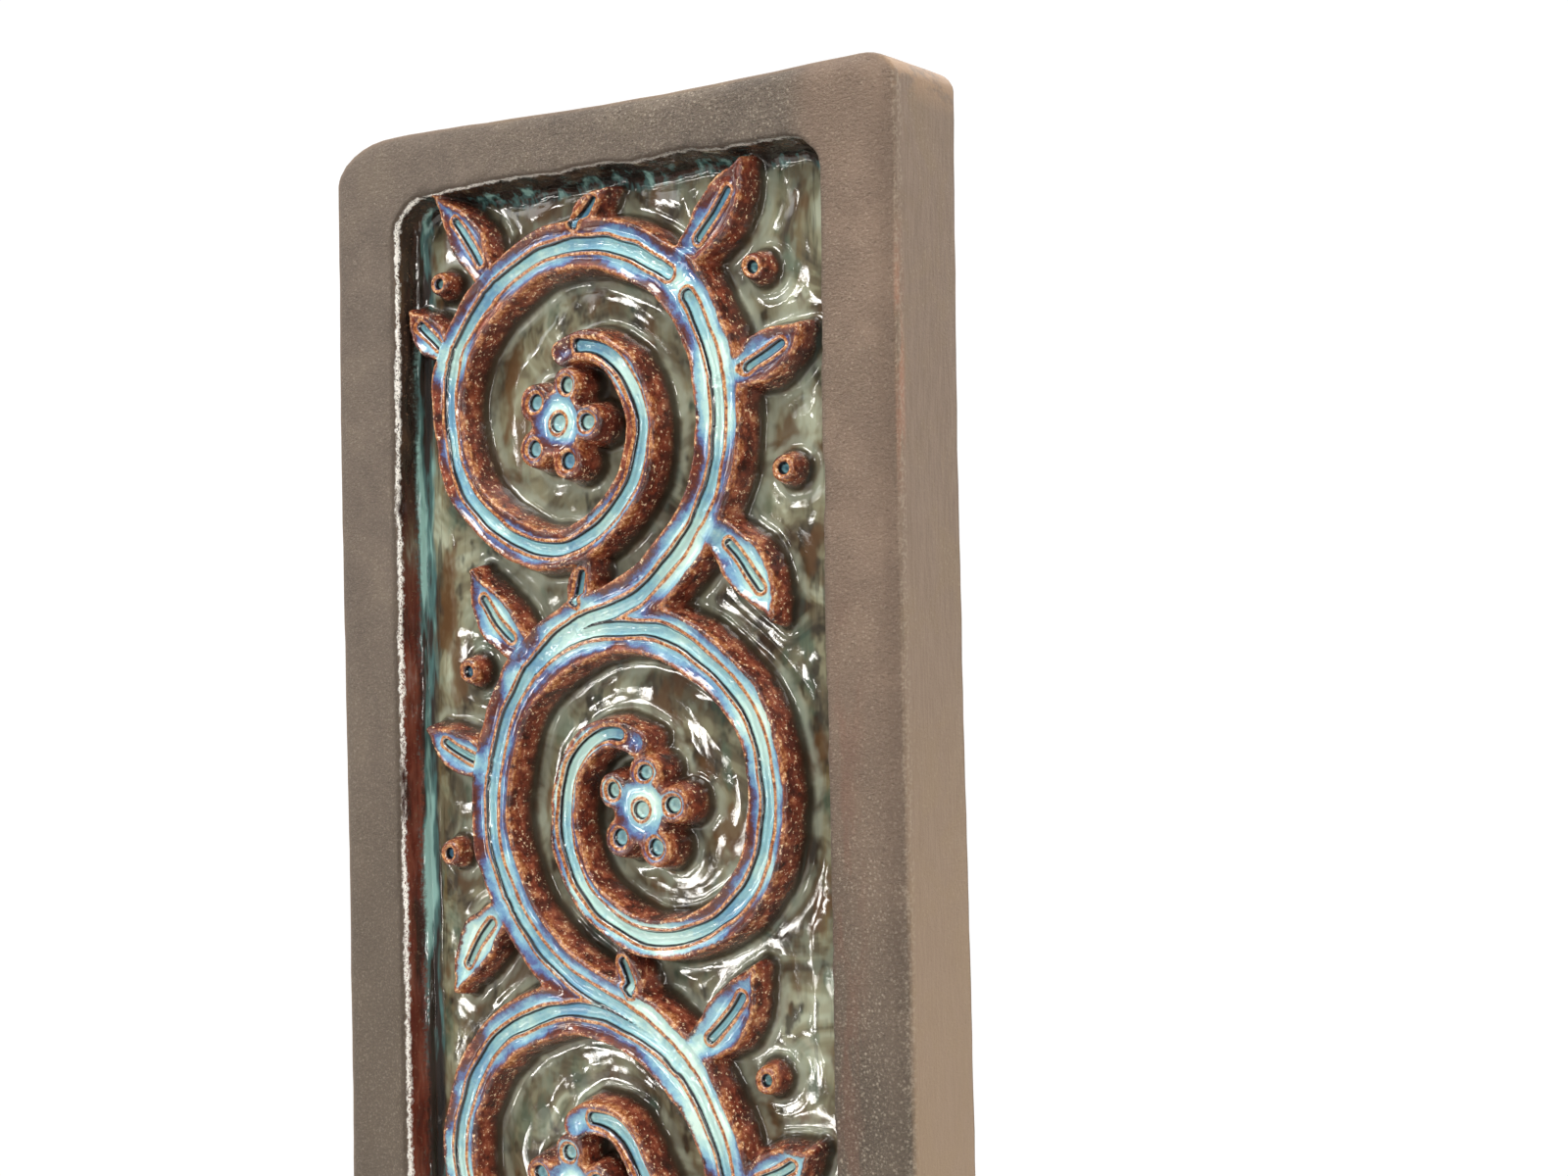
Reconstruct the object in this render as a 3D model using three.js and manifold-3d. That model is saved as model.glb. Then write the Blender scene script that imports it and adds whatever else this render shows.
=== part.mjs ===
// A tall stoneware wall plaque, modelled in millimetres with +Z up.
// The origin is the centre of the back face. X runs to the right as the front is seen, and Y runs into
// the wall, so the relief looks towards -Y. A plain border stands around a sunk panel, and the panel holds
// a running scroll: one stem that winds upwards, with a spiral, a flower, leaves and berries in each turn.

import * as THREE from 'three';
import { mergeVertices } from 'three/addons/utils/BufferGeometryUtils.js';
import Module from 'manifold-3d';

const wasm = await Module();
wasm.setup();

// Slab
const WIDTH = 142.5;
const HEIGHT = 375;
const DEPTH = 24;
const EDGE_ROUNDING = 3;

// Sunk panel
const SIDE_BORDER = 17.25;
const END_BORDER = 14;
const PANEL_DEPTH = 9;
const PANEL_CORNER_RADIUS = 9;
const PANEL_FILLET = 2.4;

// Heights of the relief above the panel's ground
const STEM_RISE = 7.4;
const LEAF_RISE = 6.6;
const FLOWER_RISE = 7.8;
const BERRY_RISE = 5;
const SHOULDER_DROP = 2;
const SHOULDER_INSET = 1.5;
const ROOT_DEPTH = 1;

// Widths of the relief, each half of the full width
const STEM_HALF_WIDTH = 6.4;
const SPIRAL_END_HALF_WIDTH = 4;
const LEAF_HALF_WIDTH = 6;
const BERRY_RADIUS = 3.6;
const PETAL_RADIUS = 4.6;

// Cut lines and pits in the tops of the relief
const CHANNEL_WIDTH = 2.4;
const CHANNEL_DEPTH = 1;
const PETAL_PIT_RADIUS = 1.7;
const PIT_DEPTH = 1.6;

// Composition. Lengths are shares of the pitch from one turn of the stem to the next, the lean of the
// turns to the left and right is a share of half the panel's width, and angles are in degrees.
const TURNS = 4;
const TOP_SHARE = 0.65;
const FOOT_SHARE = 0.86;
const LEAN_SHARE = 0.185;
const SPIRAL_START = 40;
const SPIRAL_END = 444;
const SPIRAL_SHRINK = 0.0021;
const CURL_START = 400;
const CURL_TURN = 110;
const PETALS = 5;
const PETAL_REACH_SHARE = 0.1;
const FLOWER_TWIST = 10;
const BERRY_OFF_SHARE = 0.19;

// Hanging pocket in the back
const POCKET_WIDTH = 16;
const POCKET_HEIGHT = 12;
const POCKET_DEPTH = 9;
const POCKET_BELOW_TOP = 31;

// Corners of the slab, each rubbed round by hand over its own width and height. A corner's arc starts at
// an angle from the X axis.
const SLAB_CORNERS = [
	{ sideX: 1, sideZ: -1, start: -90, size: [10, 9] },
	{ sideX: 1, sideZ: 1, start: 0, size: [8, 5.5] },
	{ sideX: -1, sideZ: 1, start: 90, size: [17, 9] },
	{ sideX: -1, sideZ: -1, start: 180, size: [12, 8] },
];

// Hand-cut edges dip in from a straight line by up to depth, or out where it is negative, in a wave that
// turns by waves radians from the middle of the edge to its end and is shifted by shift radians.
const SLAB_EDGES = {
	right: { depth: 1.4, waves: 3.4, shift: -0.7 },
	left: { depth: 0.6, waves: 4.6, shift: 1.5 },
	top: { depth: 1.2, waves: 3.2, shift: 0.9 },
	bottom: { depth: 0.9, waves: 4.1, shift: 2 },
};
const PANEL_EDGES = {
	right: { depth: -0.5, waves: 5.2, shift: 1.9 },
	left: { depth: -0.5, waves: 5.2, shift: -0.7 },
	top: { depth: -0.5, waves: 4.1, shift: 2.8 },
	bottom: { depth: -0.5, waves: 4.1, shift: 1.2 },
};

// Steps along curves, and sides of small rounds
const CORNER_STEPS = 4;
const EDGE_SPACING = 24;
const ARC_STEP = 14;
const LEAF_STEPS = 6;
const BERRY_SIDES = 10;
const PIT_SIDES = 7;
const POCKET_ARCH_STEPS = 8;

const halfPanelWidth = WIDTH / 2 - SIDE_BORDER;
const halfPanelHeight = HEIGHT / 2 - END_BORDER;
const ground = DEPTH - PANEL_DEPTH;
const pitch = 2 * halfPanelHeight / (TURNS - 1 + TOP_SHARE + FOOT_SHARE);
const lean = halfPanelWidth * LEAN_SHARE;
const stemRadius = Math.hypot(lean, pitch / 2);
const swing = THREE.MathUtils.radToDeg(Math.atan2(pitch / 2, lean));

// Solids and meshes

function toSolid(geometry) {
	const plain = geometry.clone();
	plain.deleteAttribute('normal');
	plain.deleteAttribute('uv');
	const merged = mergeVertices(plain, 1e-4);
	return new wasm.Manifold(new wasm.Mesh({
		numProp: 3,
		vertProperties: new Float32Array(merged.attributes.position.array),
		triVerts: new Uint32Array(merged.index.array),
	}));
}

function toGeometry(solid) {
	const mesh = solid.getMesh();
	const geometry = new THREE.BufferGeometry();
	geometry.setAttribute('position', new THREE.BufferAttribute(mesh.vertProperties, 3));
	geometry.setIndex(new THREE.BufferAttribute(mesh.triVerts, 1));
	geometry.computeVertexNormals();
	return geometry;
}

// Extrudes an outline from one height over the back plane to another, and turns it to face the front.
// The bevel at each end takes the outline in by inset over the given drop.
function raise(points, from, to, drop = 0, inset = 0, steps = 1) {
	const geometry = new THREE.ExtrudeGeometry(new THREE.Shape(points), {
		depth: to - from - 2 * drop,
		bevelEnabled: drop > 0,
		bevelThickness: drop,
		bevelSize: inset,
		bevelOffset: -inset,
		bevelSegments: steps,
		curveSegments: 1,
	});
	geometry.translate(0, 0, from + drop);
	geometry.rotateX(Math.PI / 2);
	return toSolid(geometry);
}

// Outlines

// A rectangle with round corners and hand-cut edges.
function slabOutline(halfWidth, halfHeight, corners, edges) {
	const cornerPoint = ({ sideX, sideZ, start, size: [wide, high] }, step) => {
		const angle = THREE.MathUtils.degToRad(start + 90 * step / CORNER_STEPS);
		return new THREE.Vector2(
			sideX * (halfWidth - wide) + wide * Math.cos(angle),
			sideZ * (halfHeight - high) + high * Math.sin(angle),
		);
	};
	const points = [];
	for (const [index, corner] of corners.entries()) {
		for (let step = 0; step <= CORNER_STEPS; step += 1) {
			points.push(cornerPoint(corner, step));
		}
		const last = points[points.length - 1].clone();
		const end = cornerPoint(corners[(index + 1) % corners.length], 0);
		const pieces = Math.max(2, Math.round(last.distanceTo(end) / EDGE_SPACING));
		for (let piece = 1; piece < pieces; piece += 1) {
			points.push(last.clone().lerp(end, piece / pieces));
		}
	}
	return points.map((point) => handCut(point, halfWidth, halfHeight, edges));
}

// Moves a point of an outline by the dips of the edges that it lies between.
function handCut(point, halfWidth, halfHeight, { right, left, top, bottom }) {
	const across = point.x / halfWidth;
	const up = point.y / halfHeight;
	const dip = ({ depth, waves, shift }, share) => depth * (0.5 + 0.5 * Math.sin(waves * share + shift));
	return new THREE.Vector2(
		point.x - across * dip(across > 0 ? right : left, up),
		point.y - up * dip(up > 0 ? top : bottom, across),
	);
}

// The outline of a line drawn with a round brush whose half width changes along it.
function strokeOutline({ path, halfWidths }, capSteps) {
	const left = [];
	const right = [];
	const last = path.length - 1;
	for (let index = 0; index <= last; index += 1) {
		const ahead = path[Math.min(index + 1, last)];
		const behind = path[Math.max(index - 1, 0)];
		const across = ahead.clone().sub(behind).normalize().rotateAround(new THREE.Vector2(), Math.PI / 2);
		left.push(path[index].clone().addScaledVector(across, halfWidths[index]));
		right.push(path[index].clone().addScaledVector(across, -halfWidths[index]));
	}
	const cap = (centre, from) => {
		const points = [];
		for (let step = 1; step < capSteps; step += 1) {
			points.push(from.clone().rotateAround(centre, Math.PI * step / capSteps));
		}
		return points;
	};
	return [
		...right,
		...cap(path[last], right[last]),
		...left.reverse(),
		...cap(path[0], left[last]),
	];
}

function circleOutline(x, z, radius, sides) {
	const points = [];
	for (let side = 0; side < sides; side += 1) {
		const angle = 2 * Math.PI * side / sides;
		points.push(new THREE.Vector2(x + radius * Math.cos(angle), z + radius * Math.sin(angle)));
	}
	return points;
}

// Places on the scroll

// The centre of a turn, counted from the top, and the side of the panel that its spiral lies on.
function turnCentre(turn) {
	const side = turn % 2 === 0 ? -1 : 1;
	return { x: side * lean, z: halfPanelHeight - (TOP_SHARE + turn) * pitch, side };
}

// A point around a turn's centre. Angle 0 points to the outer side of the stem's arc, and 90 points up.
function around(turn, degrees, radius) {
	const { x, z, side } = turnCentre(turn);
	const angle = THREE.MathUtils.degToRad(degrees);
	return new THREE.Vector2(x - side * radius * Math.cos(angle), z + radius * Math.sin(angle));
}

function range(from, to, steps) {
	return Array.from({ length: steps + 1 }, (_, index) => from + (to - from) * index / steps);
}

// The radius of a spiral at an angle: a steady shrink, and a closer curl in the last part.
function spiralRadius(degrees) {
	const turned = degrees - SPIRAL_START;
	const curl = Math.max(0, degrees - CURL_START) / CURL_TURN;
	return stemRadius * Math.exp(-SPIRAL_SHRINK * turned) * Math.cos(curl * Math.PI / 2);
}

// Paths of the lines in the relief, each with its half widths

// The stem runs up through the turns in arcs that meet without a kink, from the foot of the panel.
function stemPath() {
	const path = [];
	const footAngle = THREE.MathUtils.radToDeg(
		Math.asin((-halfPanelHeight - PANEL_FILLET - turnCentre(TURNS).z) / stemRadius),
	);
	for (let turn = TURNS; turn >= 0; turn -= 1) {
		const from = turn === TURNS ? footAngle : -swing;
		const to = turn === 0 ? SPIRAL_START : swing;
		const angles = range(from, to, Math.ceil((to - from) / ARC_STEP));
		for (const angle of path.length ? angles.slice(1) : angles) {
			path.push(around(turn, angle, stemRadius));
		}
	}
	return { path, halfWidths: path.map(() => STEM_HALF_WIDTH) };
}

function spiralPath(turn) {
	const angles = range(SPIRAL_START, SPIRAL_END, Math.ceil((SPIRAL_END - SPIRAL_START) / ARC_STEP));
	const path = angles.map((angle) => around(turn, angle, spiralRadius(angle)));
	const halfWidths = range(STEM_HALF_WIDTH, SPIRAL_END_HALF_WIDTH, path.length - 1);
	return { path, halfWidths };
}

// A pointed leaf that springs from the scroll at an angle, leans off the ray there and bends to its tip.
function leafPath(turn, { at, length, leanOff, bend, size = 1, radius = stemRadius }) {
	const stride = length * pitch / LEAF_STEPS;
	const { side } = turnCentre(turn);
	const point = around(turn, at, radius);
	const path = [];
	const halfWidths = [];
	for (let step = 0; step <= LEAF_STEPS; step += 1) {
		const share = step / LEAF_STEPS;
		const swell = share < 0.5 ? 0.5 + 0.95 * share : Math.max(0.3, Math.cos((share - 0.5) * 2.75));
		path.push(point.clone());
		halfWidths.push(LEAF_HALF_WIDTH * size * swell);
		const heading = THREE.MathUtils.degToRad(at + leanOff + bend * share);
		point.x -= side * stride * Math.cos(heading);
		point.y += stride * Math.sin(heading);
	}
	return { path, halfWidths };
}

// The relief, piece by piece

const OUTER_LEAVES = [
	{ at: 46, length: 0.34, leanOff: -14, bend: 34 },
	{ at: 9, length: 0.26, leanOff: 4, bend: 26, size: 0.92 },
	{ at: -30, length: 0.34, leanOff: -4, bend: -36 },
];
const FORK_LEAF = { at: 64, length: 0.2, leanOff: 34, bend: 20, size: 0.68 };
const TOP_LEAVES = [
	{ at: 122, length: 0.33, leanOff: -4, bend: 16, size: 0.92, radius: spiralRadius(122) },
	{ at: 152, length: 0.24, leanOff: -4, bend: -20, size: 0.84, radius: spiralRadius(152) },
	{ at: 88, length: 0.2, leanOff: -34, bend: -24, size: 0.64, radius: spiralRadius(88) },
];
const FOOT_LEAVES = [
	{ turn: TURNS - 1, at: -66, length: 0.4, leanOff: -22, bend: -50 },
	{ turn: TURNS - 1, at: -48, length: 0.26, leanOff: 0, bend: -30, size: 0.86 },
	{ turn: TURNS, at: 30, length: 0.26, leanOff: 14, bend: 30, size: 0.88 },
	{ turn: TURNS, at: 60, length: 0.21, leanOff: 30, bend: 20, size: 0.74 },
];

function allLeaves() {
	const leaves = TOP_LEAVES.map((leaf) => leafPath(0, leaf));
	for (let turn = 0; turn < TURNS; turn += 1) {
		leaves.push(...OUTER_LEAVES.map((leaf) => leafPath(turn, leaf)));
		if (turn > 0) {
			leaves.push(leafPath(turn, FORK_LEAF));
		}
	}
	leaves.push(...FOOT_LEAVES.map((leaf) => leafPath(leaf.turn, leaf)));
	return leaves;
}

function berryPlaces() {
	const reach = stemRadius + BERRY_OFF_SHARE * pitch;
	const places = [around(0, 137, spiralRadius(137) + BERRY_OFF_SHARE * pitch)];
	for (let turn = 0; turn < TURNS; turn += 1) {
		places.push(around(turn, 30, reach), around(turn, -12, reach));
	}
	places.push(around(TURNS, 43, stemRadius - BERRY_OFF_SHARE * pitch));
	return places;
}

function raiseRelief(outline, rise, inset = SHOULDER_INSET) {
	return raise(outline, ground - SHOULDER_DROP - ROOT_DEPTH, ground + rise, SHOULDER_DROP, inset);
}

// The slope of a stroke's shoulders stays well inside its narrowest place.
function raiseStroke(stroke, rise, capSteps) {
	const inset = Math.min(SHOULDER_INSET, 0.6 * Math.min(...stroke.halfWidths));
	return raiseRelief(strokeOutline(stroke, capSteps), rise, inset);
}

// The middles of a turn's petals.
function petalPlaces(turn) {
	const { x, z } = turnCentre(turn);
	const reach = PETAL_REACH_SHARE * pitch;
	return range(0, 360, PETALS).slice(1).map((degrees) => {
		const angle = THREE.MathUtils.degToRad(degrees + FLOWER_TWIST * turn);
		return new THREE.Vector2(x + reach * Math.cos(angle), z + reach * Math.sin(angle));
	});
}

function flower(turn) {
	const { x, z } = turnCentre(turn);
	const petals = petalPlaces(turn).map((place) => circleOutline(place.x, place.y, PETAL_RADIUS, BERRY_SIDES));
	const heart = circleOutline(x, z, PETAL_REACH_SHARE * pitch, BERRY_SIDES);
	return wasm.Manifold.union([heart, ...petals].map((outline) => raiseRelief(outline, FLOWER_RISE)));
}

function flowerPits(turn) {
	const { x, z } = turnCentre(turn);
	return [new THREE.Vector2(x, z), ...petalPlaces(turn)].map((place) => raise(
		circleOutline(place.x, place.y, PETAL_PIT_RADIUS, PIT_SIDES), ground + FLOWER_RISE - PIT_DEPTH, DEPTH,
	));
}

// A cut line along the middle of a stroke, stopping short of both its ends.
function channel(stroke, rise) {
	const path = stroke.path.slice(1, -1);
	const halfWidths = path.map(() => CHANNEL_WIDTH / 2);
	return raise(strokeOutline({ path, halfWidths }, 2), ground + rise - CHANNEL_DEPTH, DEPTH);
}

function buildRelief() {
	const turns = range(0, TURNS - 1, TURNS - 1);
	const stem = stemPath();
	const spirals = turns.map(spiralPath);
	const solids = [
		raiseStroke(stem, STEM_RISE, 3),
		...spirals.map((spiral) => raiseStroke(spiral, STEM_RISE, 3)),
		...allLeaves().map((leaf) => raiseStroke(leaf, LEAF_RISE, 2)),
		...turns.map(flower),
		...berryPlaces().map((place) => raiseRelief(
			circleOutline(place.x, place.y, BERRY_RADIUS, BERRY_SIDES), BERRY_RISE,
		)),
	];
	const cuts = [
		channel(stem, STEM_RISE),
		...spirals.map((spiral) => channel(spiral, STEM_RISE)),
		...turns.flatMap(flowerPits),
	];
	return wasm.Manifold.union(solids).subtract(wasm.Manifold.union(cuts));
}

// The slab, its sunk panel and the pocket in its back

function buildSlab() {
	const outline = slabOutline(WIDTH / 2, HEIGHT / 2, SLAB_CORNERS, SLAB_EDGES);
	const rounded = raise(outline, -EDGE_ROUNDING, DEPTH, EDGE_ROUNDING, EDGE_ROUNDING, 3);
	const behind = new THREE.BoxGeometry(2 * WIDTH, 2 * EDGE_ROUNDING, 2 * HEIGHT);
	behind.translate(0, EDGE_ROUNDING, 0);
	return rounded.subtract(toSolid(behind));
}

function buildPanelCut() {
	const size = [PANEL_CORNER_RADIUS, PANEL_CORNER_RADIUS];
	const corners = SLAB_CORNERS.map((corner) => ({ ...corner, size }));
	const outline = slabOutline(halfPanelWidth, halfPanelHeight, corners, PANEL_EDGES);
	return raise(outline, ground, DEPTH + 2 * PANEL_FILLET, PANEL_FILLET, PANEL_FILLET, 2);
}

// The pocket has a flat floor and an arched roof that a nail's head hooks behind.
function buildPocket() {
	const archRadius = POCKET_WIDTH / 2;
	const floor = HEIGHT / 2 - POCKET_BELOW_TOP - POCKET_HEIGHT;
	const spring = floor + POCKET_HEIGHT - archRadius;
	const arch = range(0, 180, POCKET_ARCH_STEPS).map((degrees) => {
		const angle = THREE.MathUtils.degToRad(degrees);
		return new THREE.Vector2(archRadius * Math.cos(angle), spring + archRadius * Math.sin(angle));
	});
	const outline = [new THREE.Vector2(-archRadius, floor), new THREE.Vector2(archRadius, floor), ...arch];
	return raise(outline, -1, POCKET_DEPTH);
}

const body = buildSlab().subtract(buildPanelCut()).add(buildRelief()).subtract(buildPocket());

const plaque = new THREE.Mesh(
	toGeometry(body),
	new THREE.MeshStandardMaterial({ color: 0x6f6157, roughness: 0.85, metalness: 0 }),
);
plaque.name = 'plaque';

const part = new THREE.Group();
part.add(plaque);

export default part;
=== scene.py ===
"""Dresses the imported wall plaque: its fine relief, bare clay and running glazes, with light and a camera.

Shapes are worked out in millimetres and turned into metres when a mesh is made. A place on the plaque is
x to the right, z up and h out from the back face, so the frame's Y is -h.
"""
import math

import bmesh
import bpy
import numpy as np
from mathutils import Matrix, Vector
from mathutils.geometry import tessellate_polygon


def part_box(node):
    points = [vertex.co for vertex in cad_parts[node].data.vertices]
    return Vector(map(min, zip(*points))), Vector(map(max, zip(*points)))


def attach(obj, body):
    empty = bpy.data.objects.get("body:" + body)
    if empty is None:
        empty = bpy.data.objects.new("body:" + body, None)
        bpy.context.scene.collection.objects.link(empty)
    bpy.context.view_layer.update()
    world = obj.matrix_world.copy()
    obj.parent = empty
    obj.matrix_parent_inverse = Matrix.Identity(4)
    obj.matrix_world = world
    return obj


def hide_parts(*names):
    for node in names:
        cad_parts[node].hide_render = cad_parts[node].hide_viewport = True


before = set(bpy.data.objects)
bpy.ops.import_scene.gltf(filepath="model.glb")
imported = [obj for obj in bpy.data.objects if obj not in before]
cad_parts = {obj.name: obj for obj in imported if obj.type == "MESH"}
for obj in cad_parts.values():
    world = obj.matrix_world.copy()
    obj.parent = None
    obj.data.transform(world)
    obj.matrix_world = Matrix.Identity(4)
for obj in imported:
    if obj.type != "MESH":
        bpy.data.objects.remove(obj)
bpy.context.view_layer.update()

MM = 0.001

# The slab, from the frame
low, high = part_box("plaque")
WIDTH = (high.x - low.x) / MM
HEIGHT = (high.z - low.z) / MM
DEPTH = (high.y - low.y) / MM

# The slab's own sizes. Its front edge slopes away gently and then turns into the side in a narrow crease.
# It drops more on the right than on the left.
EDGE_SLOPE = 4.2
EDGE_DROP = 1.4
EDGE_TILT = 0.6
BACK_CORNER_SHRINK = 0.15
CREASE = 0.6
BACK_ROUNDING = 0.8
SIDE_BORDER = 17.25
END_BORDER = 14
PANEL_DEPTH = 9
PANEL_CORNER_RADIUS = 9
PANEL_FILLET = 2.4
POCKET_WIDTH = 16
POCKET_HEIGHT = 12
POCKET_DEPTH = 9
POCKET_BELOW_TOP = 31

# Corners as width and height, and the dips of the hand-cut edges, as in the solid
SLAB_CORNERS = dict(bottom_right=(10, 9), top_right=(8, 5.5), top_left=(17, 9), bottom_left=(12, 8))
SLAB_EDGES = dict(
    right=dict(depth=1.4, waves=3.4, shift=-0.7),
    left=dict(depth=0.6, waves=4.6, shift=1.5),
    top=dict(depth=1.2, waves=3.2, shift=0.9),
    bottom=dict(depth=0.9, waves=4.1, shift=2),
)
PANEL_EDGES = dict(
    right=dict(depth=-0.5, waves=5.2, shift=1.9),
    left=dict(depth=-0.5, waves=5.2, shift=-0.7),
    top=dict(depth=-0.5, waves=4.1, shift=2.8),
    bottom=dict(depth=-0.5, waves=4.1, shift=1.2),
)

# The relief's heights above the panel's ground, and half widths
STEM_RISE = 7.1
LEAF_RISE = 6.3
FLOWER_RISE = 7.4
BERRY_RISE = 4.8
STEM_HALF_WIDTH = 6.4
SPIRAL_END_HALF_WIDTH = 4
LEAF_HALF_WIDTH = 6
BERRY_RADIUS = 3.6
PETAL_RADIUS = 4.6
CHANNEL_WIDTH = 2.4
CHANNEL_DEPTH = 1.2
MIDRIB_WIDTH = 1.3
PIT_RADIUS = 1.7
BERRY_PIT_RADIUS = 1.0

# The scroll's composition, as in the solid
TURNS = 4
TOP_SHARE = 0.65
FOOT_SHARE = 0.86
LEAN_SHARE = 0.185
SPIRAL_START = 40
SPIRAL_END = 444
SPIRAL_SHRINK = 0.0021
CURL_START = 400
CURL_TURN = 110
PETALS = 5
PETAL_REACH_SHARE = 0.1
FLOWER_TWIST = 10
BERRY_OFF_SHARE = 0.19
BERRY_ANGLES = (30, -12)
TOP_BERRY_ANGLE = 137
FOOT_BERRY_ANGLE = 43

# How a figure's height runs in from its outline, and where modelled forms melt into each other
SIDE_FROM = -0.6
SIDE_TO = 1.3
LIP_RISE = 0.5
LIP_PLACE = 1.5
LIP_WIDTH = 0.62
TOP_SINK = 0.5
SINK_SPAN = (1.9, 3.3)
CUT_SPAN = (0.1, -0.6)
CUTS_START = (0.6, 1.6)
RIDGE_RISE = 0.45
RIDGE_PLACE = 0.6
RIDGE_WIDTH = 0.45
VINE_BLEND = 1.6
PETAL_BLEND = 1
OUTLINE_BLEND = 1.2
HEIGHT_BLEND = 0.5
RELIEF_BLEND = 0.8
PETAL_PIT_SHARE = 0.85
SMALL_SWELL_SHARE = 0.5

# The ground sinks by the walls and figures and rises in two steps further out. The glaze climbs the
# figures' feet.
GROUND_SINK = 0.85
NEAR_RISE = 0.9
NEAR_SPAN = (1.5, 4)
FAR_RISE = 0.55
FAR_SPAN = (3.5, 9)
MENISCUS_RISE = 1.9
MENISCUS_REACH = 1.15

# The panel's wall, by distance inside its edge, the fillet at its foot, and how far figures are buried
WALL_SPAN = (0.8, -0.5)
FILLET_START = 0.7
FILLET_HEIGHT = PANEL_FILLET + 0.6
FILLET_REACH = PANEL_FILLET + 0.8
FILLET_BLEND = 0.6
BURIAL = 1.2

# Unevenness by hand, in layers of amount, size of the features and seed
FIGURE_WAVES = ((0.3, 9, 11),)
OUTLINE_SWELL = ((0.45, 13, 12), (0.22, 4.5, 13))
CUT_SWELL = ((0.3, 8, 14),)
PANEL_EDGE_WAVES = ((0.35, 15, 21), (0.16, 4.5, 22))
TOP_EDGE_WAVES = ((0.65, 15, 21), (0.2, 4.5, 22))
PANEL_EDGE_NICKS = ((0.1, 1.7, 23),)
TOP_EDGE_REACH = 12
WARP_ACROSS = ((0.7, 21, 41), (0.25, 6, 42))
WARP_UP = ((0.7, 21, 43), (0.25, 6, 44))
GROUND_WAVES = ((0.42, 11, 51), (0.1, 5, 52))
FACE_DIPS = ((0.16, 26, 31), (0.06, 6, 32))
RUBBED_DENT = ((0.2, 8, 61),)
BROAD_DENT = ((0.16, 30, 62),)
BROAD_DENT_FROM = 3

# Mesh
FINE_STEP = 0.42
COARSE_STEP = 1.5
RIM_MARGIN = 3
FRAME_INSET = 8
BACK_RIM = 2.5
SLOPE_RINGS = 6
SIDE_RINGS = 15
SIDE_START = 0.3
ROUNDING_TILTS = np.radians([30, 60, 90])
ARCH_POINTS = 25
MOST_TRIANGLES = 194_000

HALF_WIDTH = WIDTH / 2
HALF_HEIGHT = HEIGHT / 2
HALF_PANEL_WIDTH = HALF_WIDTH - SIDE_BORDER
HALF_PANEL_HEIGHT = HALF_HEIGHT - END_BORDER
GROUND = DEPTH - PANEL_DEPTH
PITCH = 2 * HALF_PANEL_HEIGHT / (TURNS - 1 + TOP_SHARE + FOOT_SHARE)
LEAN = HALF_PANEL_WIDTH * LEAN_SHARE
STEM_RADIUS = math.hypot(LEAN, PITCH / 2)
SWING = math.degrees(math.atan2(PITCH / 2, LEAN))


# Noise and blending

NOISE_CELLS = 256
NOISE_ORIGIN = 64
NOISE_GAIN = 1.4


def fade(t):
    return t * t * t * (t * (t * 6 - 15) + 10)


def noise(x, z, size, seed):
    """Smooth noise from about -1 to 1 whose features are about size across."""
    angles = np.random.default_rng(seed).uniform(0, 2 * math.pi, (NOISE_CELLS, NOISE_CELLS))
    u, v = x / size + NOISE_ORIGIN, z / size + NOISE_ORIGIN
    column, row = np.floor(u).astype(int), np.floor(v).astype(int)
    across, up = u - column, v - row

    def corner(right, top):
        angle = angles[(column + right) % NOISE_CELLS, (row + top) % NOISE_CELLS]
        return np.cos(angle) * (across - right) + np.sin(angle) * (up - top)

    lower = corner(0, 0) * (1 - fade(across)) + corner(1, 0) * fade(across)
    upper = corner(0, 1) * (1 - fade(across)) + corner(1, 1) * fade(across)
    return NOISE_GAIN * (lower * (1 - fade(up)) + upper * fade(up))


def uneven(x, z, layers):
    """Layers of noise, both up and down."""
    return sum(amount * noise(x, z, size, seed) for amount, size, seed in layers)


def dips(x, z, layers):
    """Layers of noise that go from 0 to their amounts."""
    return sum(amount * (1 + noise(x, z, size, seed)) / 2 for amount, size, seed in layers)


def step(value, start, end):
    """0 before start, 1 after end, and smooth between them. End may be below start."""
    t = np.clip((value - start) / (end - start), 0, 1)
    return t * t * (3 - 2 * t)


def bump(value, middle, width):
    return np.exp(-(((value - middle) / width) ** 2))


def soft_max(a, b, blend):
    overlap = np.maximum(blend - np.abs(a - b), 0) / blend
    return np.maximum(a, b) + overlap * overlap * blend / 4


# The scroll's lines

def turn_centre(turn):
    side = -1 if turn % 2 == 0 else 1
    return side * LEAN, HALF_PANEL_HEIGHT - (TOP_SHARE + turn) * PITCH, side


def around(turn, degrees, radius):
    """A point round a turn's centre. Angle 0 points to the outer side of the stem's arc, and 90 up."""
    x, z, side = turn_centre(turn)
    angle = np.radians(degrees)
    return np.stack([x - side * radius * np.cos(angle), z + radius * np.sin(angle)], -1)


def angles_between(start, end, stride=5):
    return np.linspace(start, end, math.ceil((end - start) / stride) + 1)


def spiral_radius(degrees):
    curl = np.maximum(0, degrees - CURL_START) / CURL_TURN
    return STEM_RADIUS * np.exp(-SPIRAL_SHRINK * (degrees - SPIRAL_START)) * np.cos(curl * math.pi / 2)


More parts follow.
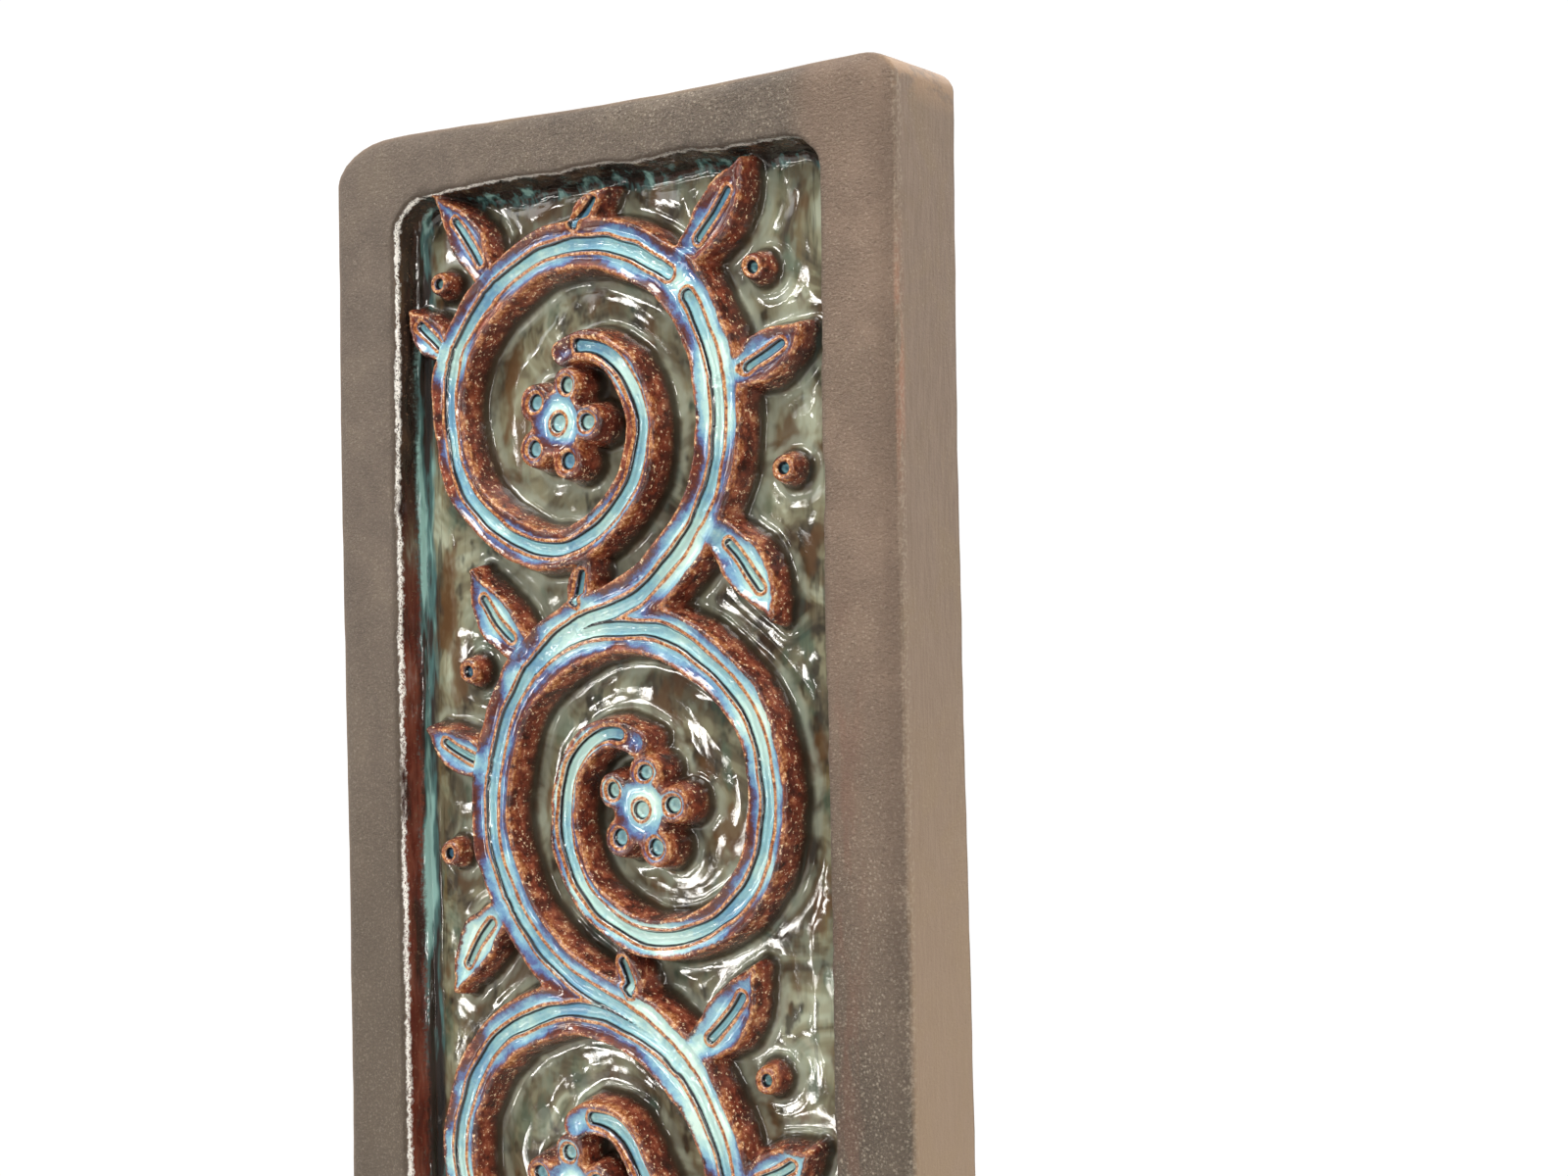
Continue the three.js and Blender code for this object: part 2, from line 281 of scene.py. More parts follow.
def stem_line():
    foot_drop = -HALF_PANEL_HEIGHT - PANEL_FILLET - turn_centre(TURNS)[1]
    foot_angle = math.degrees(math.asin(foot_drop / STEM_RADIUS))
    points = []
    for turn in range(TURNS, -1, -1):
        start = foot_angle if turn == TURNS else -SWING
        end = SPIRAL_START if turn == 0 else SWING
        arc = around(turn, angles_between(start, end), STEM_RADIUS)
        points.append(arc if turn == TURNS else arc[1:])
    path = np.concatenate(points)
    return path, np.full(len(path), STEM_HALF_WIDTH)


def spiral_line(turn):
    degrees = angles_between(SPIRAL_START, SPIRAL_END)
    half_widths = np.linspace(STEM_HALF_WIDTH, SPIRAL_END_HALF_WIDTH, len(degrees))
    return around(turn, degrees, spiral_radius(degrees)), half_widths


def leaf_line(turn, at, length, lean_off, bend, size=1, radius=None, steps=12):
    side = turn_centre(turn)[2]
    stride = length * PITCH / steps
    point = around(turn, at, radius or STEM_RADIUS)
    path, half_widths = [], []
    for index in range(steps + 1):
        share = index / steps
        swell = 0.5 + 0.95 * share if share < 0.5 else max(0.3, math.cos((share - 0.5) * 2.75))
        path.append(point)
        half_widths.append(LEAF_HALF_WIDTH * size * swell)
        heading = math.radians(at + lean_off + bend * share)
        point = point + stride * np.array([-side * math.cos(heading), math.sin(heading)])
    return np.array(path), np.array(half_widths)


OUTER_LEAVES = [
    dict(at=46, length=0.34, lean_off=-14, bend=34),
    dict(at=9, length=0.26, lean_off=4, bend=26, size=0.92),
    dict(at=-30, length=0.34, lean_off=-4, bend=-36),
]
FORK_LEAF = dict(at=64, length=0.2, lean_off=34, bend=20, size=0.68)
TOP_LEAVES = [
    dict(at=122, length=0.33, lean_off=-4, bend=16, size=0.92, radius=spiral_radius(122)),
    dict(at=152, length=0.24, lean_off=-4, bend=-20, size=0.84, radius=spiral_radius(152)),
    dict(at=88, length=0.2, lean_off=-34, bend=-24, size=0.64, radius=spiral_radius(88)),
]
FOOT_LEAVES = [
    dict(turn=TURNS - 1, at=-66, length=0.4, lean_off=-22, bend=-50),
    dict(turn=TURNS - 1, at=-48, length=0.26, lean_off=0, bend=-30, size=0.86),
    dict(turn=TURNS, at=30, length=0.26, lean_off=14, bend=30, size=0.88),
    dict(turn=TURNS, at=60, length=0.21, lean_off=30, bend=20, size=0.74),
]


def leaf_lines():
    lines = [leaf_line(0, **leaf) for leaf in TOP_LEAVES]
    for turn in range(TURNS):
        lines += [leaf_line(turn, **leaf) for leaf in OUTER_LEAVES + [FORK_LEAF] * (turn > 0)]
    return lines + [leaf_line(**leaf) for leaf in FOOT_LEAVES]


def berry_places():
    off = BERRY_OFF_SHARE * PITCH
    places = [around(0, TOP_BERRY_ANGLE, spiral_radius(TOP_BERRY_ANGLE) + off)]
    for turn in range(TURNS):
        places += [around(turn, angle, STEM_RADIUS + off) for angle in BERRY_ANGLES]
    return places + [around(TURNS, FOOT_BERRY_ANGLE, STEM_RADIUS - off)]


def petal_places(turn):
    x, z, _ = turn_centre(turn)
    angles = np.radians(np.arange(1, PETALS + 1) * 360 / PETALS + FLOWER_TWIST * turn)
    reach = PETAL_REACH_SHARE * PITCH
    return np.stack([x + reach * np.cos(angles), z + reach * np.sin(angles)], -1)


# Distances, in millimetres

FAR = 16


def inside_line(x, z, line, piece=8):
    """How deep each place lies inside a brush line: positive inside, and -FAR well away from it."""
    path, half_widths = line
    depth = np.full(x.shape, -float(FAR))
    for start in range(0, len(path) - 1, piece):
        stretch = path[start:start + piece + 1]
        widths = half_widths[start:start + piece + 1]
        margin = FAR + widths.max()
        near = np.nonzero(
            (np.abs(x - stretch[:, 0].mean()) < np.ptp(stretch[:, 0]) / 2 + margin)
            & (np.abs(z - stretch[:, 1].mean()) < np.ptp(stretch[:, 1]) / 2 + margin)
        )
        px, pz = x[near], z[near]
        best = depth[near]
        for a, b, at_a, at_b in zip(stretch[:-1], stretch[1:], widths[:-1], widths[1:]):
            along = b - a
            share = np.clip(((px - a[0]) * along[0] + (pz - a[1]) * along[1]) / (along @ along), 0, 1)
            distance = np.hypot(px - a[0] - share * along[0], pz - a[1] - share * along[1])
            best = np.maximum(best, at_a + (at_b - at_a) * share - distance)
        depth[near] = best
    return depth


def inside_disc(x, z, place, radius):
    return np.maximum(radius - np.hypot(x - place[0], z - place[1]), -float(FAR))


def middle_of(line, start=1, end=-1):
    """The line's middle as a line with no width, for a cut along it."""
    path = line[0][start:end]
    return path, np.zeros(len(path))


def edge_dips(x, z, half_width, half_height, edges):
    """How far the hand-cut edges move a place inwards, along x and along z."""
    across, up = x / half_width, z / half_height

    def dip(edge, share):
        return edge["depth"] * (0.5 + 0.5 * np.sin(edge["waves"] * share + edge["shift"]))

    sideways = across * np.where(across > 0, dip(edges["right"], up), dip(edges["left"], up))
    upright = up * np.where(up > 0, dip(edges["top"], across), dip(edges["bottom"], across))
    return sideways, upright


def inside_panel_outline(x, z):
    """How far inside the panel's round-cornered outline each place lies."""
    sideways, upright = edge_dips(x, z, HALF_PANEL_WIDTH, HALF_PANEL_HEIGHT, PANEL_EDGES)
    over_x = np.abs(x + sideways) - HALF_PANEL_WIDTH + PANEL_CORNER_RADIUS
    over_z = np.abs(z + upright) - HALF_PANEL_HEIGHT + PANEL_CORNER_RADIUS
    outside = np.hypot(np.maximum(over_x, 0), np.maximum(over_z, 0))
    return PANEL_CORNER_RADIUS - outside - np.minimum(np.maximum(over_x, over_z), 0)


# The shape of the front

def figure_height(inside, rise, waviness):
    """The height of a modelled figure over the ground: steep sides, a raised lip and a sunk top."""
    side = step(inside, SIDE_FROM, SIDE_TO)
    lip = LIP_RISE * bump(inside, LIP_PLACE, LIP_WIDTH)
    sunk = TOP_SINK * step(inside, *SINK_SPAN)
    return side * (rise + lip - sunk + waviness)


def figures_at(x, z):
    """The relief at each place: its height over the ground, how deep inside a figure it lies, and the
    distance to the edge of the nearest cut line or pit, negative inside the cut."""
    waviness = uneven(x, z, FIGURE_WAVES)
    swell = uneven(x, z, OUTLINE_SWELL)
    stem = stem_line()
    spirals = [spiral_line(turn) for turn in range(TURNS)]
    leaves = leaf_lines()

    vines = inside_line(x, z, stem)
    channels = -inside_line(x, z, middle_of(stem))
    for spiral in spirals:
        vines = soft_max(vines, inside_line(x, z, spiral), VINE_BLEND)
        channels = np.minimum(channels, -inside_line(x, z, middle_of(spiral, 1, -3)))
    vines = vines + swell
    cut = channels - CHANNEL_WIDTH / 2 + uneven(x, z, CUT_SWELL)

    leafage = np.full(x.shape, -float(FAR))
    for leaf in leaves:
        leafage = np.maximum(leafage, inside_line(x, z, leaf))
        cut = np.minimum(cut, -inside_line(x, z, middle_of(leaf, 4, -3)) - MIDRIB_WIDTH / 2)
    leafage = leafage + swell

    flowers = np.full(x.shape, -float(FAR))
    for turn in range(TURNS):
        centre = turn_centre(turn)[:2]
        flowers = np.maximum(flowers, inside_disc(x, z, centre, PETAL_REACH_SHARE * PITCH))
        cut = np.minimum(cut, -inside_disc(x, z, centre, PIT_RADIUS))
        for petal in petal_places(turn):
            flowers = soft_max(flowers, inside_disc(x, z, petal, PETAL_RADIUS), PETAL_BLEND)
            cut = np.minimum(cut, -inside_disc(x, z, petal, PIT_RADIUS * PETAL_PIT_SHARE))
    flowers = flowers + swell * SMALL_SWELL_SHARE

    berries = np.full(x.shape, -float(FAR))
    for place in berry_places():
        berries = np.maximum(berries, inside_disc(x, z, place, BERRY_RADIUS))
        cut = np.minimum(cut, -inside_disc(x, z, place, BERRY_PIT_RADIUS))
    berries = berries + swell * SMALL_SWELL_SHARE

    height = figure_height(vines, STEM_RISE, waviness)
    for inside, rise in ((leafage, LEAF_RISE), (flowers, FLOWER_RISE), (berries, BERRY_RISE)):
        height = soft_max(height, figure_height(inside, rise, waviness), HEIGHT_BLEND)
    inside = soft_max(soft_max(vines, leafage, OUTLINE_BLEND), flowers, OUTLINE_BLEND)
    inside = np.maximum(inside, berries)
    ridge = RIDGE_RISE * bump(cut, RIDGE_PLACE, RIDGE_WIDTH)
    height += step(inside, *CUTS_START) * (ridge - CHANNEL_DEPTH * step(cut, *CUT_SPAN))
    return height, inside, cut


def panel_inside(x, z):
    """How far inside the sunk panel each place lies. Its edge is cut by hand, most uneven at the top."""
    top = step(z, HALF_PANEL_HEIGHT - TOP_EDGE_REACH, HALF_PANEL_HEIGHT)
    waves = uneven(x, z, PANEL_EDGE_WAVES) + top * uneven(x, z, TOP_EDGE_WAVES)
    return inside_panel_outline(x, z) + waves + uneven(x, z, PANEL_EDGE_NICKS)


def face_height(x, z):
    """The clay border's front, slightly uneven, and never over the slab's depth."""
    return DEPTH - dips(x, z, FACE_DIPS)


def front_at(x, z):
    """Height and the fields that the colours follow, at each place of the front."""
    panel = panel_inside(x, z)
    figure, inside, cut = figures_at(x + uneven(x, z, WARP_ACROSS), z + uneven(x, z, WARP_UP))
    outside = np.maximum(-inside, 0)
    room = np.minimum(outside, np.maximum(panel - 1, 0))
    ground = NEAR_RISE * step(room, *NEAR_SPAN) + FAR_RISE * step(room, *FAR_SPAN) - GROUND_SINK
    ground += uneven(x, z, GROUND_WAVES) + MENISCUS_RISE * np.exp(-outside / MENISCUS_REACH)
    fillet = FILLET_HEIGHT * (1 - np.clip((panel - FILLET_START) / FILLET_REACH, 0, 1)) ** 2
    floor = GROUND + soft_max(ground, fillet, FILLET_BLEND)
    buried = BURIAL * (inside < SIDE_FROM)
    relief = soft_max(floor, GROUND + figure - buried, RELIEF_BLEND)
    wall = step(panel, *WALL_SPAN)
    return relief + (face_height(x, z) - relief) * wall, inside, cut, panel


# The mesh

def graded(half_size, dense_half):
    """Grid lines: fine ones over the panel, and coarser ones out to the frame on both sides."""
    fine = np.linspace(-dense_half, dense_half, round(2 * dense_half / FINE_STEP) + 1)
    coarse = np.linspace(dense_half, half_size, math.ceil((half_size - dense_half) / COARSE_STEP) + 1)[1:]
    return np.concatenate([-coarse[::-1], fine, coarse])


SIDES = (
    ("bottom_left", "bottom_right"),
    ("bottom_right", "top_right"),
    ("top_right", "top_left"),
    ("top_left", "bottom_left"),
)
BEND_MARGIN = 5
CORNER_INSET_SHARE = 0.6


def side_points(quarter, places, inset, back):
    """One side of the slab's outline, drawn in by inset. The ends of the places go round half a corner.
    The top right corner is tighter towards the back, where back is 1."""
    upright = quarter % 2 == 1
    half_long, half_wide = (HALF_HEIGHT, HALF_WIDTH) if upright else (HALF_WIDTH, HALF_HEIGHT)
    tighter = 1 - BACK_CORNER_SHRINK * back
    corners = SLAB_CORNERS | {"top_right": [size * tighter for size in SLAB_CORNERS["top_right"]]}
    sizes = [corners[name][::-1] if upright else corners[name] for name in SIDES[quarter]]
    (start_long, start_wide), (end_long, end_wide) = [
        [np.maximum(size - CORNER_INSET_SHARE * inset, 1) for size in corner] for corner in sizes
    ]
    bend_from = np.abs(places).max() - BEND_MARGIN
    start_turn = np.clip((-bend_from - places) / BEND_MARGIN, 0, 1) * math.pi / 4
    end_turn = np.clip((places - bend_from) / BEND_MARGIN, 0, 1) * math.pi / 4
    share = np.clip((places + bend_from) / (2 * bend_from), 0, 1)
    straight_start = -(half_long - inset - start_long)
    straight_end = half_long - inset - end_long
    along = straight_start + (straight_end - straight_start) * share
    along += end_long * np.sin(end_turn) - start_long * np.sin(start_turn)
    out = half_wide - inset - start_wide * (1 - np.cos(start_turn)) - end_wide * (1 - np.cos(end_turn))
    direction = np.array([math.cos(quarter * math.pi / 2), math.sin(quarter * math.pi / 2)])
    outward = np.array([direction[1], -direction[0]])
    return along[:, None] * direction + out[:, None] * outward


def slab_ring(xs, zs, inset, back=0):
    """The slab's outline drawn in by inset, point by point for the border of the front's grid."""
    sides = [xs, zs, xs, zs]
    insets = np.broadcast_to(inset, sum(len(side) - 1 for side in sides))
    points, start = [], 0
    for quarter, side in enumerate(sides):
        end = start + len(side) - 1
        whole = np.append(insets[start:end], insets[end % len(insets)])
        points.append(side_points(quarter, side, whole, back)[:-1])
        start = end
    ring = np.concatenate(points)
    sideways, upright = edge_dips(ring[:, 0], ring[:, 1], HALF_WIDTH, HALF_HEIGHT, SLAB_EDGES)
    return ring - np.stack([sideways, upright], -1)


def edge_drop(x):
    """How far the front has sloped down where it turns into the side."""
    return EDGE_DROP + EDGE_TILT * x / HALF_WIDTH


def edge_rings(xs, zs, start):
    """Rings from the front's grid over the edge, down the sides and round onto the back."""
    shoulder = slab_ring(xs, zs, EDGE_SLOPE)
    rings = []
    for share in np.linspace(0, 1, SLOPE_RINGS + 1)[1:]:
        at = start + (shoulder - start) * share
        rings.append(np.column_stack([at, face_height(at[:, 0], at[:, 1])]))
    outline = slab_ring(xs, zs, 0)
    walk = np.concatenate([[0], np.cumsum(np.hypot(*np.diff(outline, axis=0).T))])
    drop = edge_drop(outline[:, 0])
    face = face_height(shoulder[:, 0], shoulder[:, 1])

    def dent(down):
        """How far the hand-rubbed clay falls short of the outline, by place and by distance down."""
        broad = dips(walk, walk * 0 + down, BROAD_DENT) * np.minimum(1, down / BROAD_DENT_FROM)
        return dips(walk, walk * 0 + down, RUBBED_DENT) + broad

    for share in np.linspace(0, 1, SLOPE_RINGS + 1)[1:]:
        inset = CREASE + (EDGE_SLOPE - CREASE) * (1 - share)
        ring = slab_ring(xs, zs, inset + dent(EDGE_SLOPE * share))
        rings.append(np.column_stack([ring, face - drop * share ** 2]))
    for tilt in ROUNDING_TILTS:
        ring = slab_ring(xs, zs, CREASE * (1 - math.sin(tilt)) + dent(EDGE_SLOPE + tilt))
        rings.append(np.column_stack([ring, face - drop - CREASE * (1 - math.cos(tilt))]))
    side_top = DEPTH - drop - CREASE - SIDE_START
    for share in np.linspace(0, 1, SIDE_RINGS + 1)[1:]:
        height = side_top + (BACK_ROUNDING - side_top) * share
        ring = slab_ring(xs, zs, dent(EDGE_SLOPE + math.pi / 2 + side_top - height), share)
        rings.append(np.column_stack([ring, height]))
    last_dent = dent(EDGE_SLOPE + math.pi / 2 + side_top - BACK_ROUNDING)
    for tilt in ROUNDING_TILTS:
        ring = slab_ring(xs, zs, last_dent + BACK_ROUNDING * (1 - math.cos(tilt)), 1)
        rings.append(np.column_stack([ring, np.full(len(ring), BACK_ROUNDING * (1 - math.sin(tilt)))]))
    ring = slab_ring(xs, zs, last_dent + BACK_RIM, 1)
    rings.append(np.column_stack([ring, np.zeros(len(ring))]))
    return rings


def pocket_outline(inset=0):
    arch = POCKET_WIDTH / 2
    floor = HALF_HEIGHT - POCKET_BELOW_TOP - POCKET_HEIGHT
    spring = floor + POCKET_HEIGHT - arch
    turns = np.linspace(0, math.pi, ARCH_POINTS)
    radius = arch - inset
    points = np.stack([radius * np.cos(turns), spring + radius * np.sin(turns)], -1)
    return np.concatenate([[[-radius, floor + inset], [radius, floor + inset]], points])


# The pocket's rings as inset and depth
POCKET_LEVELS = ((0, 0), (0.25, 0.6), (0.25, POCKET_DEPTH - 0.5), (0.8, POCKET_DEPTH))


def plaque_mesh():
    """The whole plaque as one closed surface, before it is thinned: places, quads and triangles."""
    xs = graded(HALF_WIDTH - FRAME_INSET, HALF_PANEL_WIDTH + RIM_MARGIN)
    zs = graded(HALF_HEIGHT - FRAME_INSET, HALF_PANEL_HEIGHT + RIM_MARGIN)
    grid_x, grid_z = np.meshgrid(xs, zs)
    rows, columns = grid_x.shape
    places = [np.stack([grid_x.ravel(), grid_z.ravel(), front_at(grid_x, grid_z)[0].ravel()], -1)]
    index = np.arange(rows * columns).reshape(rows, columns)
    corners = [index[:-1, :-1], index[:-1, 1:], index[1:, 1:], index[1:, :-1]]
    quads = [np.stack(corners, -1).reshape(-1, 4)]
    rim = np.concatenate([index[0, :-1], index[:-1, -1], index[-1, :0:-1], index[:0:-1, 0]])

    rings = edge_rings(xs, zs, places[0][rim, :2])
    pocket = [
        np.column_stack([pocket_outline(inset), np.full(len(pocket_outline()), depth)])
        for inset, depth in POCKET_LEVELS
    ]
    count = rows * columns
    before = rim
    for ring in rings:
        ids = np.arange(count, count + len(ring))
        quads.append(np.stack([before, ids, np.roll(ids, -1), np.roll(before, -1)], -1))
        before = ids
        count += len(ring)
    back_edge = before
    pocket_ids = []
    for ring in pocket:
        pocket_ids.append(np.arange(count, count + len(ring)))
        count += len(ring)
    for upper, lower in zip(pocket_ids[:-1], pocket_ids[1:]):
        quads.append(np.stack([upper, lower, np.roll(lower, -1), np.roll(upper, -1)], -1))

    back = tessellate_polygon([
        [Vector((*point[:2], 0)) for point in rings[-1]],
        [Vector((*point[:2], 0)) for point in pocket[0]],
    ])
    ids = np.concatenate([back_edge, pocket_ids[0]])
    triangles = [ids[list(corner)].tolist() for corner in back]
    floor = pocket_ids[-1].tolist()
    triangles += [(floor[0], floor[i], floor[i + 1]) for i in range(1, len(floor) - 1)]
    return np.concatenate(places + rings + pocket), np.concatenate(quads).tolist(), triangles


def outward(mesh):
    """Turns all faces of a closed mesh to point out."""
    work = bmesh.new()
    work.from_mesh(mesh)
    bmesh.ops.recalc_face_normals(work, faces=work.faces)
    work.to_mesh(mesh)
    work.free()


def build_plaque():
    places, quads, triangles = plaque_mesh()
    points = np.stack([places[:, 0], -places[:, 2], places[:, 1]], -1) * MM
    mesh = bpy.data.meshes.new("plaque_dense")
    mesh.from_pydata(points.tolist(), [], quads + triangles)
    outward(mesh)
    dense = bpy.data.objects.new("plaque_dense", mesh)
    bpy.context.scene.collection.objects.link(dense)
    thin = dense.modifiers.new("thin", "DECIMATE")
    thin.ratio = MOST_TRIANGLES / (2 * len(quads) + len(triangles))
    thin.use_collapse_triangulate = True
    fine = bpy.data.meshes.new_from_object(dense.evaluated_get(bpy.context.evaluated_depsgraph_get()))
    bpy.data.objects.remove(dense)
    fine.name = "plaque_relief"
    piece = bpy.data.objects.new("plaque_stoneware", fine)
    bpy.context.scene.collection.objects.link(piece)
    return piece


# Stands for panel on the sides and the back, well outside the panel
NO_PANEL = -40
FRONT_REACH = 4
FLAT_BACK = 0.999


def add_fields(mesh):
    """Writes the fields that the colours follow onto the vertices."""
    co = np.empty(len(mesh.vertices) * 3)
    mesh.vertices.foreach_get("co", co)
    x, y, z = co.reshape(-1, 3).T / MM
    _, inside, cut, panel = front_at(x, z)
    panel = np.where(-y < GROUND - FRONT_REACH, NO_PANEL, panel)
    for name, values in (("inside", inside), ("cut", cut), ("panel", panel)):
        layer = mesh.attributes.new(name, "FLOAT", "POINT")
        layer.data.foreach_set("value", values.astype(np.float32))


def smooth_faces(mesh):
    """Smooth everywhere but on the flat back."""
    normals = np.empty(len(mesh.polygons) * 3)
    mesh.polygons.foreach_get("normal", normals)
    flat = normals.reshape(-1, 3)[:, 1] > FLAT_BACK
    mesh.polygons.foreach_set("use_smooth", ~flat)


# Colours, as single codes or as stops along a noise

CLOUDY_CLAY = ((0.32, "#61554a"), (0.5, "#6d6054"), (0.68, "#786b5d"))
# Painted shade: the front clay darker towards the left and low down
LEFT_SHADED_CLAY = "#57493f"
LOW_SHADED_CLAY = "#564a3d"
PALE_SPECK = "#9a8f80"
DARK_SPECK = "#40372e"
SAND_GRAIN = "#b3a795"
# Painted shade on the front's sloping right edge
EDGE_SHADE_CLAY = "#5d5044"
# Warmer clay tone on the right border, made paler by painted light
WARM_LIT_RIGHT_CLAY = "#8e7461"
RED_CLAY = "#7c5443"
WIPED_CLAY = ("#7b6858", "#857262")
SIDE_CLOUD = "#837058"
SIDE_SPECK = "#564a3d"
# Painted light: the right side paler towards the bottom
LOW_LIT_SIDE = "#9a8268"
FLUSHED_CLAY = "#a5745c"
# Painted highlight along the right crease
CREASE_HIGHLIGHT_CLAY = "#aa9c8a"
SCUFFED_CLAY = "#a9896a"
# Darker clay just outside the panel's rim
RIM_DARKENED_CLAY = "#51463b"

GROUND_GLASS = ((0.34, "#463e33"), (0.45, "#69614c"), (0.54, "#8b886e"), (0.66, "#b0b59e"))
OCHRE_STREAK = "#7d6a43"
DARK_STREAK = "#332d25"
DARK_BLOT = "#302b24"
PALE_BLOT = "#8c9582"
GREEN_TONE = "#4c6a5a"
BROWN_TONE = "#64472c"
MILKY_GLASS = "#aab19f"
# Painted shade at the figures' feet
SHADED_GLASS = "#382f25"

MAROON_WALL = ((0.34, "#38201b"), (0.46, "#5a2a20"), (0.56, "#713d2f"), (0.68, "#8d6f66"))
DARK_WALL = ((0.34, "#241e19"), (0.5, "#362b24"), (0.62, "#4c3c2e"), (0.72, "#757060"))
WALL_FOOT = ((0.36, "#241f1b"), (0.47, "#352d29"), (0.55, "#4b6d6b"), (0.64, "#8fb9b2"))
WALL_SPECK = "#8a6a52"
# Painted highlight: glitter along the panel's rim
RIM_HIGHLIGHT_GLITTER = "#fffdf6"

RUST = ((0.36, "#55261b"), (0.47, "#763727"), (0.56, "#94503a"), (0.66, "#bf855e"))
BURNT_RUST = ((0.36, "#38201a"), (0.5, "#592b22"), (0.6, "#733c2e"), (0.7, "#a57154"))
# Painted highlight: glints on the rust
RUST_GLINT_HIGHLIGHT = "#f5d8b0"
# Painted shade at the foot of the figures' sides
SHADED_FIGURE_FOOT = "#33221a"
GOLD = ((0.34, "#5e2c18"), (0.46, "#95542f"), (0.57, "#c48a56"), (0.7, "#eac596"))
POOLED_GLAZE = (
    (0.0, "#5a2f28"), (0.1, "#533d4c"), (0.2, "#55618f"), (0.34, "#6b93b4"),
    (0.5, "#8bb7c7"), (0.68, "#aed3d0"), (0.88, "#cde6db"),
)
CHANNEL_GLAZE = ((0.34, "#79aac7"), (0.48, "#9ccad2"), (0.62, "#c6e5de"))
CUT_LINE = "#14161a"

FLOOR_COLOURS = ("#cdcac5", "#d5d2cd")
FLOOR_ROUGHNESS = 0.8

# Heights between which a colour comes in, from none to full
# Where the painted shade low on the front comes in
LOW_SHADE_COMES = (110, -10)
# Where the warmer, painted-lit clay on the right border comes in
WARM_LIT_RIGHT_COMES = (-20, 80)
RED_CLAY_COMES = (100, 60)
# Where the painted light low on the right side comes in
LOW_SIDE_LIGHT_COMES = (130, -10)
MAROON_COMES = (118, 78)
MORE_POOLS_COME = (110, 20)
FLUSH_SPAN = (112, 150)

# The glaze's refraction, and the small bumps' share and their height in millimetres
GLAZE_IOR = 1.6
BUMP_STRENGTH = 0.8
BUMP_HEIGHT = 0.4


# Materials

def tint(code):
    """A linear colour from a hex code."""
    parts = [int(code[i:i + 2], 16) / 255 for i in (1, 3, 5)]
    return tuple(p / 12.92 if p <= 0.04045 else ((p + 0.055) / 1.055) ** 2.4 for p in parts) + (1,)


class Graph:
    """A small hand for building a material's nodes. Lengths are in millimetres."""

    def __init__(self, name):
        self.material = bpy.data.materials.new(name)
        self.material.use_nodes = True
        self.tree = self.material.node_tree
        self.tree.nodes.clear()
        coordinates = self.put("ShaderNodeTexCoord")
        scaled = self.put("ShaderNodeVectorMath", {0: coordinates.outputs["Object"]}, operation="SCALE")
        scaled.inputs["Scale"].default_value = 1 / MM
        self.place = scaled.outputs[0]

    def put(self, kind, inputs=None, **settings):
        made = self.tree.nodes.new(kind)
        for key, value in settings.items():
            setattr(made, key, value)
        for key, value in (inputs or {}).items():
            if isinstance(value, bpy.types.NodeSocket):
                self.tree.links.new(value, made.inputs[key])
            else:
                made.inputs[key].default_value = value
        return made

    def math(self, operation, a, b=0.0, c=0.0):
        return self.put("ShaderNodeMath", {0: a, 1: b, 2: c}, operation=operation).outputs[0]

    def add(self, *values):
        total = values[0]
        for value in values[1:]:
            total = self.math("ADD", total, value)
        return total

    def times(self, *values):
        product = values[0]
        for value in values[1:]:
            product = self.math("MULTIPLY", product, value)
        return product

    def less(self, a, b):
        return self.math("SUBTRACT", a, b)

    def field(self, name):
        return self.put("ShaderNodeAttribute", attribute_name=name).outputs["Fac"]

    def step(self, value, start, end):
        inputs = {"Value": value, "From Min": start, "From Max": end}
        return self.put("ShaderNodeMapRange", inputs, interpolation_type="SMOOTHSTEP").outputs[0]

    def band(self, value, low, high, soft):
        """1 between low and high, with soft edges."""
        above = self.step(value, low - soft, low + soft)
        below = self.step(value, high + soft, high - soft)
        return self.times(above, below)

    def blend(self, share, a, b):
        return self.put("ShaderNodeMix", {"Factor": share, 2: a, 3: b}, data_type="FLOAT").outputs[0]

    def mix(self, share, a, b):
        made = self.put("ShaderNodeMix", {"Factor": share}, data_type="RGBA")
        for socket, value in ((made.inputs[6], a), (made.inputs[7], b)):
            if isinstance(value, bpy.types.NodeSocket):
                self.tree.links.new(value, socket)
            else:
                socket.default_value = tint(value)
        return made.outputs[2]

    def ramp(self, value, *stops):
        made = self.put("ShaderNodeValToRGB", {"Fac": value})
        made.color_ramp.interpolation = "EASE"
        while len(made.color_ramp.elements) < len(stops):
            made.color_ramp.elements.new(0.5)
        for element, (at, code) in zip(made.color_ramp.elements, sorted(stops)):
            element.position = at
            element.color = tint(code)
        return made.outputs["Color"]

    def noise(self, size, detail=2.0, rough=0.5, stretch=(1, 1, 1), warp=0.0, shift=0.0):
        """Noise about 0.5, with features about size across, longer along a stretched axis."""
        place = self.place
        if stretch != (1, 1, 1) or shift:
            moved = self.put("ShaderNodeMapping", {"Vector": place})
            moved.inputs["Scale"].default_value = tuple(1 / s for s in stretch)
            moved.inputs["Location"].default_value = (shift, shift * 0.7, -shift)
            place = moved.outputs[0]
        inputs = {"Vector": place, "Scale": 1 / size, "Detail": detail, "Roughness": rough}
        return self.put("ShaderNodeTexNoise", inputs | {"Distortion": warp}).outputs[0]

    def cells(self, size, shift=0.0):
        """The distance to the middle of the nearest of many cells, about size apart."""
        moved = self.put("ShaderNodeMapping", {"Vector": self.place})
        moved.inputs["Location"].default_value = (shift, shift, shift)
        inputs = {"Vector": moved.outputs[0], "Scale": 1 / size}
        return self.put("ShaderNodeTexVoronoi", inputs).outputs["Distance"]


